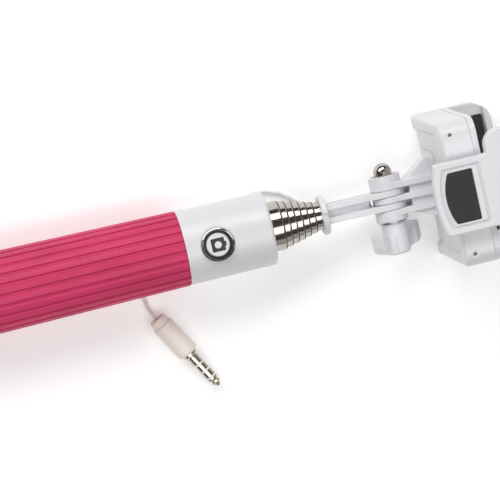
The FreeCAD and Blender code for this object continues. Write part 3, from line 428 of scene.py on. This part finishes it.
# name, node that it stands for, body, voxel in millimetres, smoothing passes
MOULDINGS = [
    ("moulded_knob", "wing_knob", "knob", 0.16, 6),
    ("moulded_prongs", "head_bracket", "head", 0.17, 5),
    ("moulded_fork", "fork_end", "tip", 0.17, 5),
    ("moulded_jaw", "upper_jaw", "jaw", 0.22, 4),
    ("moulded_clamp", "clamp_body", "head", 0.3, 4),
]


def add_mouldings(material):
    for name, node_name, body, voxel, passes in MOULDINGS:
        softened(name, node_name, body, voxel, passes, material)


# ---- cord --------------------------------------------------------------------------------------
CORD_DIAMETER = 1.4 * MM
PLUG_Z = 3.4
# points of the cord's free end: millimetres ahead of the collar's front, across, and up
CORD_ROUTE = [
    (21.4, 0.0, 9.0),
    (21.3, 0.0, 6.4),
    (20.4, 0.2, 3.5),
    (18.2, 0.7, 1.4),
    (15.0, 1.9, 0.7),
    (12.0, 4.0, 0.7),
    (8.9, 7.0, 0.7),
    (5.2, 9.2, 0.7),
    (0.4, 10.3, 0.7),
    (-5.0, 9.4, 0.7),
    (-14.0, 7.8, 0.7),
    (-26.0, 6.4, 0.7),
    (-38.0, 6.2, 0.7),
    (-50.0, 6.6, 0.7),
    (-57.6, 5.8, 0.7),
    (-62.4, 3.0, 0.7),
    (-63.2, -2.2, 0.7),
    (-60.0, -6.6, 0.7),
    (-54.6, -8.2, 0.7),
    (-48.6, -8.6, 0.7),
    (-43.8, -10.6, 0.7),
    (-41.6, -14.0, 0.95),
    (-41.3, -17.9, 2.3),
    (-39.5, -21.0, PLUG_Z),
]


def cord_points():
    return [Vector((COLLAR_FRONT + x * MM, y * MM, z * MM)) for x, y, z in CORD_ROUTE]


def add_cord(materials):
    points = cord_points()
    data = bpy.data.curves.new("cord_free_end", "CURVE")
    data.dimensions = "3D"
    data.bevel_depth = CORD_DIAMETER / 2
    data.bevel_resolution = 6
    data.resolution_u = 10
    data.use_fill_caps = True
    spline = data.splines.new("NURBS")
    spline.points.add(len(points) - 1)
    for place, point in zip(spline.points, points):
        place.co = (*point, 1.0)
    spline.order_u = 3
    spline.use_endpoint_u = True
    piece = bpy.data.objects.new("cord_free_end", data)
    scene.collection.objects.link(piece)
    data.materials.append(materials["cord_white"])
    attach(piece, "tip")
    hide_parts("cord")


# ---- studio --------------------------------------------------------------------------------------
def add_floor():
    mesh = bpy.data.meshes.new("floor")
    half = 2.5
    mesh.from_pydata([(-half, -half, 0), (half, -half, 0), (half, half, 0), (-half, half, 0)],
                     [], [(0, 1, 2, 3)])
    floor = bpy.data.objects.new("floor", mesh)
    scene.collection.objects.link(floor)
    material, shader = principled("floor_paper", (0.9, 0.9, 0.9), 0.9, Emission_Strength=0.22)
    shader.inputs["Emission Color"].default_value = (1, 1, 1, 1)
    mesh.materials.append(material)


def add_area(name, place, target, width, height, power):
    data = bpy.data.lights.new(name, "AREA")
    data.shape = "RECTANGLE"
    data.size = width
    data.size_y = height
    data.energy = power
    light = bpy.data.objects.new(name, data)
    scene.collection.objects.link(light)
    place = Vector(place)
    light.location = place
    light.rotation_euler = (Vector(target) - place).to_track_quat("-Z", "Y").to_euler()


def add_lights():
    target = (0.03, 0.0, 0.0)
    add_area("key_softbox", (-0.2, 0.80, 0.72), target, 1.5, 0.52, 11.5)
    add_area("fill_softbox", (0.1, -0.35, 1.02), target, 1.5, 0.46, 7.0)
    add_area("thin_strip", (0.03, 0.085, 1.05), target, 1.4, 0.07, 0.5)
    add_area("low_card", (0.05, -0.95, 0.28), target, 1.5, 0.4, 0.9)
    world = bpy.data.worlds.new("studio")
    world.use_nodes = True
    background = world.node_tree.nodes["Background"]
    background.inputs["Color"].default_value = (1.0, 0.92, 0.86, 1.0)
    background.inputs["Strength"].default_value = 0.08
    scene.world = world


# ---- build -----------------------------------------------------------------------------------------
add_camera()
all_materials = make_materials()
ribbed_grip(all_materials["grip_pink"])
# dark rings in the tube mouths are painted shade at each joint
add_joint_shade_rings(all_materials["black_rubber"])
add_mouldings(all_materials["white_plastic"])
add_cord(all_materials)
dress_nodes(all_materials)
add_floor()
add_lights()
scene.view_settings.view_transform = "Standard"
